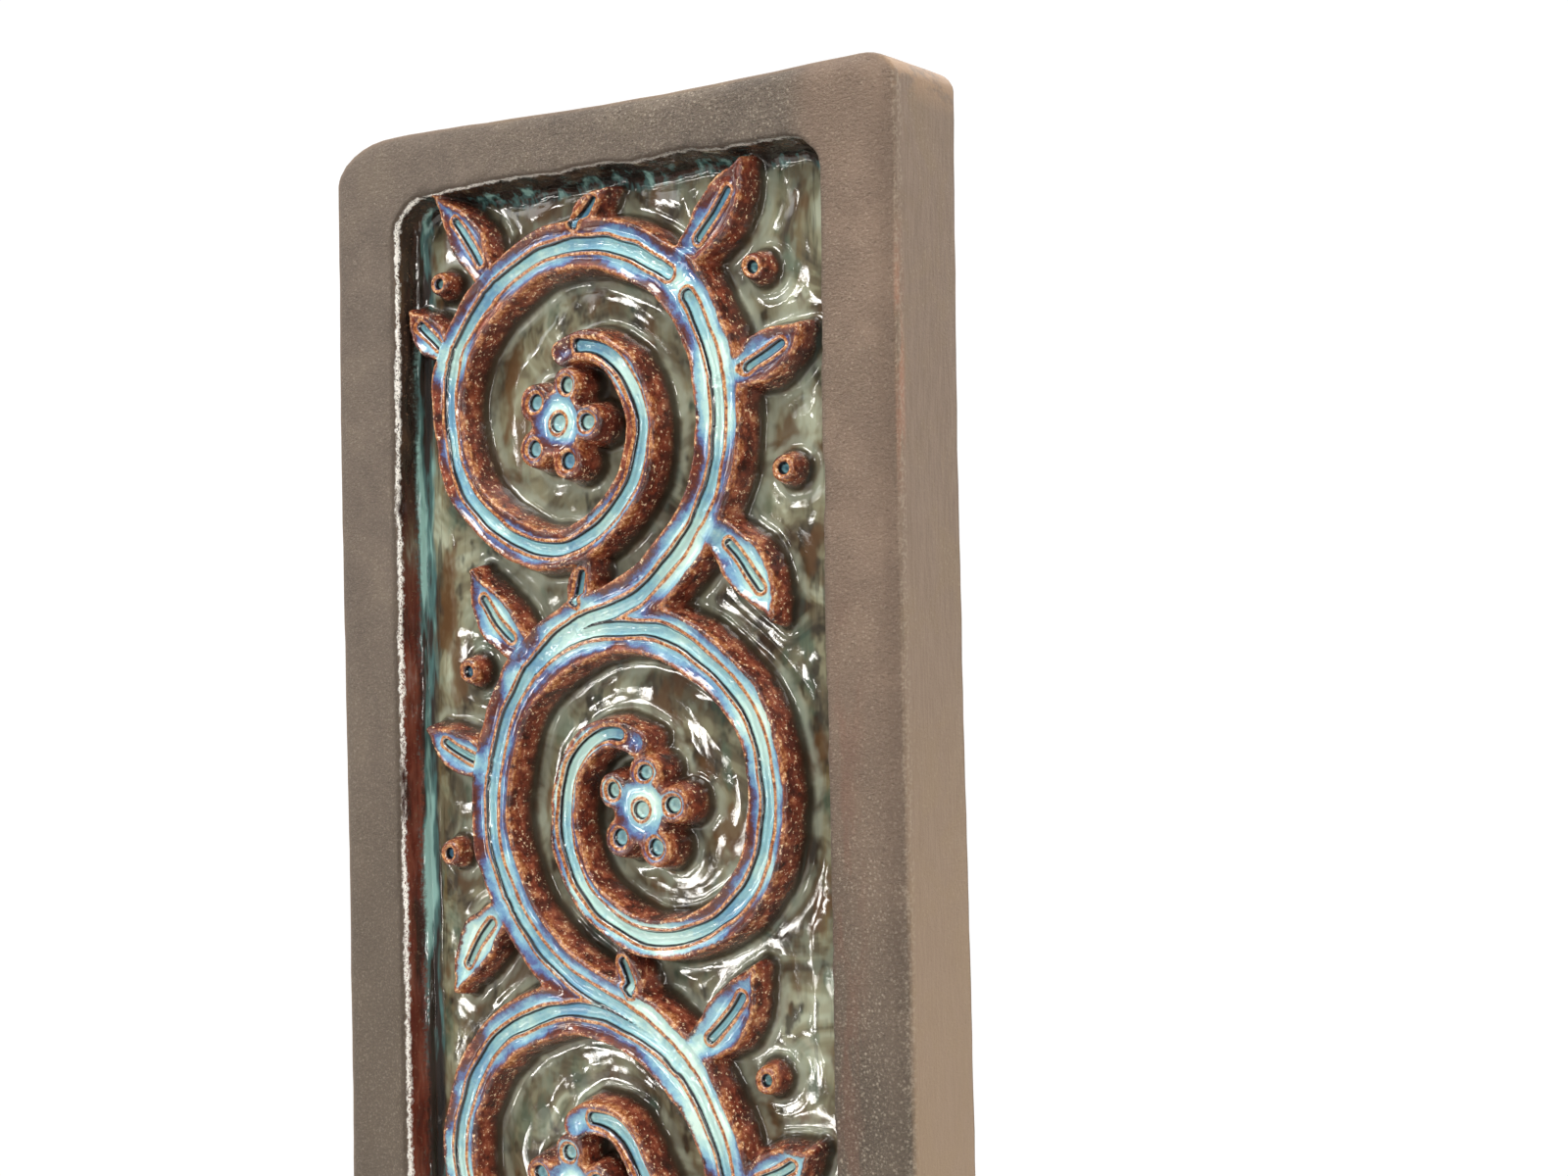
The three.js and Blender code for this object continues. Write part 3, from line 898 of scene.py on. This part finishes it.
class Surface:
    """The places and patterns that the plaque's colours and bumps share."""

    def __init__(self, g):
        self.inside = g.field("inside")
        self.cut = g.field("cut")
        self.panel = g.field("panel")
        self.across, self.depth, self.up = g.put("ShaderNodeSeparateXYZ", {0: g.place}).outputs
        drop = g.add(g.times(self.across, EDGE_TILT / HALF_WIDTH), EDGE_DROP)
        self.on_side = g.step(g.less(self.depth, drop), -DEPTH - 0.3, -DEPTH + 0.5)
        self.on_back = g.step(self.depth, -1, -0.2)
        self.on_front = g.less(1, self.on_back)
        right = g.step(self.across, HALF_WIDTH - 5, HALF_WIDTH - 4)
        self.right_side = g.times(self.on_side, self.on_front, right)
        self.rightward = g.times(g.step(self.across, -60, 50), self.on_front)

        self.fine = g.noise(0.5, 3, 0.75)
        self.grit = g.noise(0.8, 3, 0.7, shift=3)
        self.broad = g.noise(16, 3, 0.62, warp=1.0)
        self.runs = g.noise(4.2, 3, 0.6, (1, 1, 4.5), shift=11)
        self.grains = g.times(g.step(g.cells(1.15, 7), 0.3, 0.14), g.step(self.broad, 0.36, 0.56))

        self.figure = g.step(self.inside, -0.3, 0.25)
        ragged = g.times(g.less(g.noise(1.3, 2, 0.6, shift=2), 0.5), 0.4)
        self.edge = g.add(self.panel, ragged)
        self.glazed = g.step(self.edge, -0.22, -0.08)
        # The rim's band: a raised crust in the bumps, and where the painted highlight glints go
        self.crust_and_glint_band = g.band(self.edge, -0.18, 0.02, 0.07)


def front_clay(g, s):
    """The border's gritty clay: painted shade on the left, low down and on the sloping right edge, and a
    warmer tone with painted light on the right.
    """
    clay = g.ramp(s.broad, *CLOUDY_CLAY)
    # painted shade, darker towards the left
    clay = g.mix(g.less(0.4, g.times(s.rightward, 0.4)), clay, LEFT_SHADED_CLAY)
    # painted shade, darker low down
    clay = g.mix(g.times(g.step(s.up, *LOW_SHADE_COMES), 0.75), clay, LOW_SHADED_CLAY)
    clay = g.mix(g.times(g.step(s.fine, 0.54, 0.66), g.blend(s.rightward, 0.35, 0.85)), clay, PALE_SPECK)
    clay = g.mix(g.times(g.step(s.fine, 0.45, 0.34), g.blend(s.rightward, 0.3, 0.75)), clay, DARK_SPECK)
    clay = g.mix(g.times(s.grains, g.blend(s.rightward, 0.15, 0.6)), clay, SAND_GRAIN)
    # painted shade where the front slopes away into the right side
    painted_edge_shade = g.times(g.band(s.across, HALF_WIDTH - 6, HALF_WIDTH - 2.2, 1.2), s.on_front, 0.3)
    clay = g.mix(painted_edge_shade, clay, EDGE_SHADE_CLAY)
    # warmer clay on the right border, partly its own tone and partly painted light
    right_border = g.times(g.step(s.across, HALF_PANEL_WIDTH - 8, HALF_PANEL_WIDTH), s.on_front)
    clay = g.mix(g.times(right_border, g.step(s.up, *WARM_LIT_RIGHT_COMES), 0.55), clay, WARM_LIT_RIGHT_CLAY)
    red = g.times(g.band(s.across, HALF_PANEL_WIDTH, HALF_PANEL_WIDTH + 7, 3), g.step(s.runs, 0.42, 0.62))
    return g.mix(g.times(red, s.on_front, g.step(s.up, *RED_CLAY_COMES), 0.4), clay, RED_CLAY)


def side_clay(g, s):
    """The sides' smoother, paler clay, wiped lengthwise, with painted light making it paler and warmer low
    on the right.
    """
    wiped = g.noise(0.5, 2, 0.5, (1, 1, 12), shift=9)
    clay = g.mix(g.step(wiped, 0.34, 0.66), *WIPED_CLAY)
    clay = g.mix(g.times(g.step(s.broad, 0.42, 0.66), 0.5), clay, SIDE_CLOUD)
    clay = g.mix(g.times(g.step(s.fine, 0.56, 0.74), 0.25), clay, SIDE_SPECK)
    clay = g.mix(g.times(s.grains, 0.15), clay, SAND_GRAIN)
    # painted light, paler towards the bottom of the right side
    return g.mix(g.times(g.step(s.up, *LOW_SIDE_LIGHT_COMES), s.right_side, 0.5), clay, LOW_LIT_SIDE)


def clay_colour(g, s):
    """Matte grey-brown stoneware, with a warm flush and a painted highlight on the right crease, a scuffed
    top corner and darker clay just outside the panel's rim.
    """
    clay = g.mix(g.less(s.on_side, s.on_back), front_clay(g, s), side_clay(g, s))
    along_crease = g.add(s.across, g.times(s.depth, 0.5))
    crease_place = HALF_WIDTH - DEPTH / 2
    crease = g.times(
        g.band(along_crease, crease_place - 1.1, crease_place + 1, 0.5),
        g.step(s.across, HALF_WIDTH - 5, HALF_WIDTH - 3),
        g.step(s.depth, -DEPTH + 5, -DEPTH + 3.4),
    )
    flush = g.times(crease, g.step(s.runs, 0.36, 0.56), g.band(s.up, *FLUSH_SPAN, 12), 0.55)
    clay = g.mix(flush, clay, FLUSHED_CLAY)
    # painted highlight: a pale grainy line along the crease
    clay = g.mix(g.times(crease, g.step(s.grit, 0.48, 0.62), 0.45), clay, CREASE_HIGHLIGHT_CLAY)
    patches = g.step(g.noise(3.6, 3, 0.65, (1, 2, 1), shift=29), 0.38, 0.56)
    scuffed = g.times(g.step(s.up, HALF_HEIGHT - 11, HALF_HEIGHT - 4), s.right_side, patches)
    clay = g.mix(g.times(scuffed, 0.6), clay, SCUFFED_CLAY)
    # darker clay just outside the panel's rim
    return g.mix(g.times(g.step(s.edge, -1.5, -0.2), 0.4), clay, RIM_DARKENED_CLAY)


def ground_colour(g, s):
    """Olive-grey glass over dark clay: milky near the figures, with brown, ochre and dark patches, and
    painted shade at the figures' feet.
    """
    glass = g.ramp(s.broad, *GROUND_GLASS)
    streaks = g.noise(3.4, 3, 0.6, (0.7, 1, 6), shift=31)
    near_wall = g.add(g.times(g.step(s.panel, 13, 4), 0.55), 0.15)
    glass = g.mix(g.times(g.step(streaks, 0.55, 0.68), near_wall), glass, OCHRE_STREAK)
    glass = g.mix(g.times(g.step(streaks, 0.47, 0.36), near_wall), glass, DARK_STREAK)
    blots = g.noise(7, 3, 0.65, (1, 1, 1.5), shift=57)
    glass = g.mix(g.times(g.step(blots, 0.53, 0.66), 0.85), glass, DARK_BLOT)
    glass = g.mix(g.times(g.step(blots, 0.44, 0.32), 0.5), glass, PALE_BLOT)
    tones = g.noise(10, 3, 0.6, (1, 1, 1.8), shift=91)
    glass = g.mix(g.times(g.step(tones, 0.55, 0.66), 0.5), glass, GREEN_TONE)
    glass = g.mix(g.times(g.step(tones, 0.48, 0.38), 0.75), glass, BROWN_TONE)
    outside = g.times(s.inside, -1)
    ragged = g.add(outside, g.times(g.less(blots, 0.5), 4))
    milk = g.times(g.band(ragged, 0.9, 2.6, 0.8), g.step(s.broad, 0.36, 0.54))
    glass = g.mix(g.times(milk, 0.6), glass, MILKY_GLASS)
    # painted shade on the glass at the figures' feet
    return g.mix(g.times(g.step(outside, 1.1, 0.2), 0.9), glass, SHADED_GLASS)


def wall_colour(g, s):
    """The recess walls: near black, maroon further down, and with long teal runs at their foot."""
    lower = g.step(g.add(s.up, g.times(g.less(s.runs, 0.5), 60)), *MAROON_COMES)
    wall = g.mix(lower, g.ramp(s.runs, *DARK_WALL), g.ramp(s.runs, *MAROON_WALL))
    wall = g.mix(g.times(g.step(s.grit, 0.58, 0.68), 0.4), wall, WALL_SPECK)
    long_runs = g.noise(3.2, 3, 0.55, (1, 1, 8), shift=63)
    at_foot = g.step(g.add(s.panel, g.times(g.less(s.grit, 0.5), 1.4)), 0.5, 1.3)
    return g.mix(at_foot, wall, g.ramp(long_runs, *WALL_FOOT))


def figure_colour(g, s):
    """Rust and gold where the glaze thins on rims, pooling through violet and blue to pale turquoise, with
    painted glints on the rust and painted shade at the figures' feet.
    """
    patchy = g.noise(5, 3, 0.65, shift=15)
    drips = g.add(g.times(g.noise(2.4, 3, 0.6, shift=23), 0.75), g.times(s.grit, 0.25))
    rust = g.mix(g.step(patchy, 0.54, 0.44), g.ramp(drips, *RUST), g.ramp(drips, *BURNT_RUST))
    # painted highlight: near-white glints on the rust
    rust = g.mix(g.times(g.step(s.grit, 0.59, 0.66), g.step(drips, 0.42, 0.52)), rust, RUST_GLINT_HIGHLIGHT)
    # painted shade at the foot of the figure's side
    side = g.mix(g.step(s.inside, -0.15, 0.5), SHADED_FIGURE_FOOT, rust)
    gold = g.ramp(s.grit, *GOLD)
    rim = g.band(g.add(s.inside, g.times(g.less(patchy, 0.5), 1.6)), 1.0, 1.8, 0.25)
    tops = g.mix(g.times(rim, g.step(patchy, 0.44, 0.56), 0.9), side, gold)

    fray = g.noise(1.5, 3, 0.7, shift=5)
    plenty = g.noise(17, 2, 0.5, shift=41)
    richer = g.add(g.times(g.step(s.up, *MORE_POOLS_COME), 0.1), 0.1)
    pool = g.add(g.times(g.less(s.inside, 2.0), 0.17), g.times(g.less(plenty, 0.5), 2.6), richer)
    pooled = g.ramp(g.add(pool, g.times(g.less(fray, 0.5), 0.55)), *POOLED_GLAZE)
    frayed_inside = g.add(s.inside, g.times(g.less(fray, 0.5), 1.2))
    wet = g.times(g.step(frayed_inside, 1.7, 2.2), g.step(pool, -0.14, 0.02))
    tops = g.mix(wet, tops, pooled)

    ridge = g.band(g.add(s.cut, g.times(g.less(patchy, 0.5), 0.5)), 0.3, 1.0, 0.14)
    tops = g.mix(g.times(ridge, g.step(s.inside, 0.9, 1.4)), tops, gold)
    mint = g.ramp(g.add(plenty, g.times(g.less(fray, 0.5), 0.35)), *CHANNEL_GLAZE)
    line = g.mix(g.step(s.cut, 0.34, 0.14), tops, CUT_LINE)
    channel = g.mix(g.step(s.cut, -0.05, -0.28), line, mint)
    return g.mix(g.step(s.inside, 0.9, 1.3), tops, channel)


def plaque_colour(g, s):
    """Clay on the border, sides and back, the glazes in the panel, and painted highlight glints along its
    rim, brightest on the left.
    """
    glaze = g.mix(s.figure, ground_colour(g, s), figure_colour(g, s))
    ragged_foot = g.add(s.panel, g.times(g.less(s.runs, 0.5), 5))
    on_wall = g.times(g.step(ragged_foot, 4.4, 3), g.less(1, g.step(s.inside, -0.4, 0.2)))
    glaze = g.mix(on_wall, glaze, wall_colour(g, s))
    colour = g.mix(s.glazed, clay_colour(g, s), glaze)
    # painted highlight: white glints along the rim
    painted_glints = g.times(g.step(g.noise(0.4, 2, 0.6, shift=19), 0.36, 0.46), g.step(s.runs, 0.32, 0.46))
    # painted highlight brighter on the left, where the rim faces the light
    lit = g.blend(g.step(s.across, 0, -HALF_PANEL_WIDTH), 0.45, 1.0)
    return g.mix(g.times(s.crust_and_glint_band, painted_glints, lit), colour, RIM_HIGHLIGHT_GLITTER)


def plaque_bumps(g, s):
    """The small bumps: sand and pits in the clay, soft ripples and running drips in the glaze."""
    grit_hills = g.noise(0.75, 3, 0.75, (1.3, 1, 0.8), shift=1)
    pits = g.step(g.cells(2.1), 0.2, 0.08)
    wiped = g.noise(0.45, 2, 0.5, (1, 1, 24), shift=9)
    coarse = g.step(g.noise(15, 2, shift=77), 0.35, 0.6)
    sandy = g.times(g.add(g.times(coarse, 2.2), 1.4), g.blend(s.rightward, 0.5, 1.7))
    rough_clay = g.less(g.times(grit_hills, sandy), g.times(pits, g.blend(s.rightward, 0.4, 1.2)))
    rough_clay = g.add(rough_clay, g.times(s.grains, s.rightward, 0.6))
    smooth_clay = g.add(g.times(grit_hills, 0.6), g.times(wiped, 0.15))
    clay = g.blend(g.less(s.on_side, s.on_back), rough_clay, smooth_clay)

    gilded = g.times(s.figure, g.band(s.inside, 0.2, 1.9, 0.3))
    ripples = g.times(g.noise(4.5, 1, 0.5, (1, 1, 2.2)), 0.3)
    ripples = g.add(ripples, g.times(s.grit, g.add(g.times(gilded, 0.5), 0.04)))
    drips = g.times(g.band(s.panel, -0.2, 1.6, 0.4), s.runs, 2.4)
    relief = g.add(g.blend(s.glazed, clay, g.add(ripples, drips)), g.times(s.crust_and_glint_band, 0.35))
    inputs = {"Height": relief, "Strength": BUMP_STRENGTH, "Distance": BUMP_HEIGHT * MM}
    return g.put("ShaderNodeBump", inputs).outputs[0]


def plaque_material():
    g = Graph("stoneware_and_glaze")
    s = Surface(g)
    matte = g.add(g.times(s.broad, 0.2), 0.7)
    glossy = g.add(g.times(s.grit, 0.12), 0.01)
    shader = g.put("ShaderNodeBsdfPrincipled", {
        "Base Color": plaque_colour(g, s),
        "Roughness": g.blend(s.glazed, matte, glossy),
        "Normal": plaque_bumps(g, s),
    })
    shader.inputs["IOR"].default_value = GLAZE_IOR
    g.put("ShaderNodeOutputMaterial", {"Surface": shader.outputs[0]})
    return g.material


def floor_material():
    g = Graph("pale_floor")
    shader = g.put("ShaderNodeBsdfPrincipled", {"Base Color": g.mix(g.noise(80, 2), *FLOOR_COLOURS)})
    shader.inputs["Roughness"].default_value = FLOOR_ROUGHNESS
    g.put("ShaderNodeOutputMaterial", {"Surface": shader.outputs[0]})
    return g.material


# The stage, light and camera

LENS = 47.86
SENSOR = 36
CAMERA_PLACE = Vector((0.2626, -0.3443, 0.0881))
CAMERA_YAW, CAMERA_PITCH, CAMERA_ROLL = 34.13, 0.24, -0.89


def add_camera():
    yaw, pitch, roll = (math.radians(a) for a in (CAMERA_YAW, CAMERA_PITCH, CAMERA_ROLL))
    ahead = Vector((-math.sin(yaw) * math.cos(pitch), math.cos(yaw) * math.cos(pitch), math.sin(pitch)))
    level = Vector((math.cos(yaw), math.sin(yaw), 0))
    upright = level.cross(ahead)
    right = level * math.cos(roll) + upright * math.sin(roll)
    up = upright * math.cos(roll) - level * math.sin(roll)
    data = bpy.data.cameras.new("camera")
    data.lens = LENS
    data.sensor_width = SENSOR
    data.clip_start = 0.01
    camera = bpy.data.objects.new("camera", data)
    turned = Matrix((right, up, -ahead)).transposed().to_4x4()
    camera.matrix_world = Matrix.Translation(CAMERA_PLACE) @ turned
    bpy.context.scene.collection.objects.link(camera)
    bpy.context.scene.camera = camera


def add_lamp(name, place, size, radiance, colour):
    """A lamp aimed at the plaque. Place is its azimuth, elevation and distance: azimuth 0 is straight in
    front of the plaque, and 90 is to its right."""
    turn, rise, distance = math.radians(place[0]), math.radians(place[1]), place[2]
    level = distance * math.cos(rise)
    spot = Vector((math.sin(turn) * level, -math.cos(turn) * level, distance * math.sin(rise)))
    data = bpy.data.lights.new(name, "AREA")
    data.shape = "RECTANGLE"
    data.size, data.size_y = size
    data.energy = radiance * math.pi * size[0] * size[1]
    data.color = colour
    lamp = bpy.data.objects.new(name, data)
    lamp.location = spot
    lamp.rotation_euler = (-spot).to_track_quat("-Z", "Y").to_euler()
    lamp.visible_camera = False
    bpy.context.scene.collection.objects.link(lamp)


WARM = (1, 0.97, 0.92)
WHITE = (1, 1, 1)

# Name, azimuth with elevation and distance, size, radiance and colour
LAMPS = (
    ("key", (38, 36, 0.72), (0.13, 0.13), 16, WARM),
    ("top_box", (-8, 60, 0.75), (0.22, 0.22), 16, WARM),
    ("left_box", (-60, 38, 1.2), (0.12, 0.12), 18, WHITE),
    ("soft_window", (-52, 22, 1.2), (0.4, 0.4), 3, WHITE),
    ("bulb_1", (-44, 12, 1.3), (0.08, 0.08), 30, WARM),
    ("bulb_2", (-35, 20, 1.3), (0.08, 0.08), 30, WARM),
    ("bulb_3", (-27, 11, 1.3), (0.08, 0.08), 30, WARM),
    ("bulb_4", (-38, -3, 1.1), (0.07, 0.07), 30, WARM),
    ("bulb_5", (-25, -7, 1.1), (0.07, 0.07), 30, WARM),
    ("bulb_9", (-33, -10, 0.8), (0.05, 0.05), 30, WARM),
    ("bulb_10", (-39, -16, 0.85), (0.05, 0.05), 30, WARM),
    ("bulb_11", (-29, -19, 0.85), (0.05, 0.05), 30, WARM),
    ("side_strip", (60, 1, 0.9), (0.03, 0.95), 24, WARM),
    ("bulb_6", (70, 16, 1.2), (0.07, 0.07), 30, WARM),
    ("bulb_7", (90, 30, 1.2), (0.07, 0.07), 30, WARM),
    ("bulb_8", (56, 30, 1.2), (0.07, 0.07), 30, WARM),
    ("rim_strip", (122, 8, 1.2), (0.06, 0.5), 18, WHITE),
)
FLOOR_LIGHT = ("floor_light", (170, 50, 2.6), (2, 2), 4.5, WHITE)

# The surround's dim base, and its brighter parts as direction, cosines from where to where, and strength
DIM = 0.25
BACKDROP = ((-0.55, 0.83, 0), 0.35, 0.8, 0.8)
OVERHEAD = ((0, 0, 1), 0.6, 0.85, 1.2)


def add_light():
    """A surround that is bright overhead and where the camera looks and dim elsewhere, and the lamps."""
    world = bpy.data.worlds.new("surround")
    bpy.context.scene.world = world
    world.use_nodes = True
    nodes, links = world.node_tree.nodes, world.node_tree.links
    background = nodes["Background"]
    direction = nodes.new("ShaderNodeTexCoord")

    def part(toward, start, end, amount):
        share = nodes.new("ShaderNodeVectorMath")
        share.operation = "DOT_PRODUCT"
        share.inputs[1].default_value = toward
        links.new(direction.outputs["Generated"], share.inputs[0])
        strength = nodes.new("ShaderNodeMapRange")
        strength.interpolation_type = "SMOOTHSTEP"
        for name, value in (("From Min", start), ("From Max", end), ("To Min", 0), ("To Max", amount)):
            strength.inputs[name].default_value = value
        links.new(share.outputs["Value"], strength.inputs["Value"])
        return strength.outputs[0]

    def total(a, b):
        both = nodes.new("ShaderNodeMath")
        links.new(a, both.inputs[0])
        if isinstance(b, bpy.types.NodeSocket):
            links.new(b, both.inputs[1])
        else:
            both.inputs[1].default_value = b
        return both.outputs[0]

    bright = total(part(*BACKDROP), part(*OVERHEAD))
    links.new(total(bright, DIM), background.inputs["Strength"])
    background.inputs["Color"].default_value = WHITE + (1,)
    for lamp in LAMPS + (FLOOR_LIGHT,):
        add_lamp(*lamp)


FLOOR_GAP = 0.2
FLOOR_Z = low.z - FLOOR_GAP * MM
FLOOR_RADIUS = 0.48
FLOOR_CORNERS = 96


def add_floor():
    turns = np.linspace(0, 2 * math.pi, FLOOR_CORNERS, endpoint=False)
    places = [(FLOOR_RADIUS * math.cos(turn), FLOOR_RADIUS * math.sin(turn), FLOOR_Z) for turn in turns]
    mesh = bpy.data.meshes.new("floor")
    mesh.from_pydata(places, [], [tuple(range(FLOOR_CORNERS))])
    floor = bpy.data.objects.new("floor", mesh)
    bpy.context.scene.collection.objects.link(floor)
    mesh.materials.append(floor_material())


def main():
    plaque = build_plaque()
    add_fields(plaque.data)
    smooth_faces(plaque.data)
    plaque.data.materials.append(plaque_material())
    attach(plaque, "root")
    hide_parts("plaque")
    add_floor()
    add_light()
    add_camera()
    bpy.context.scene.view_settings.view_transform = "Standard"


main()
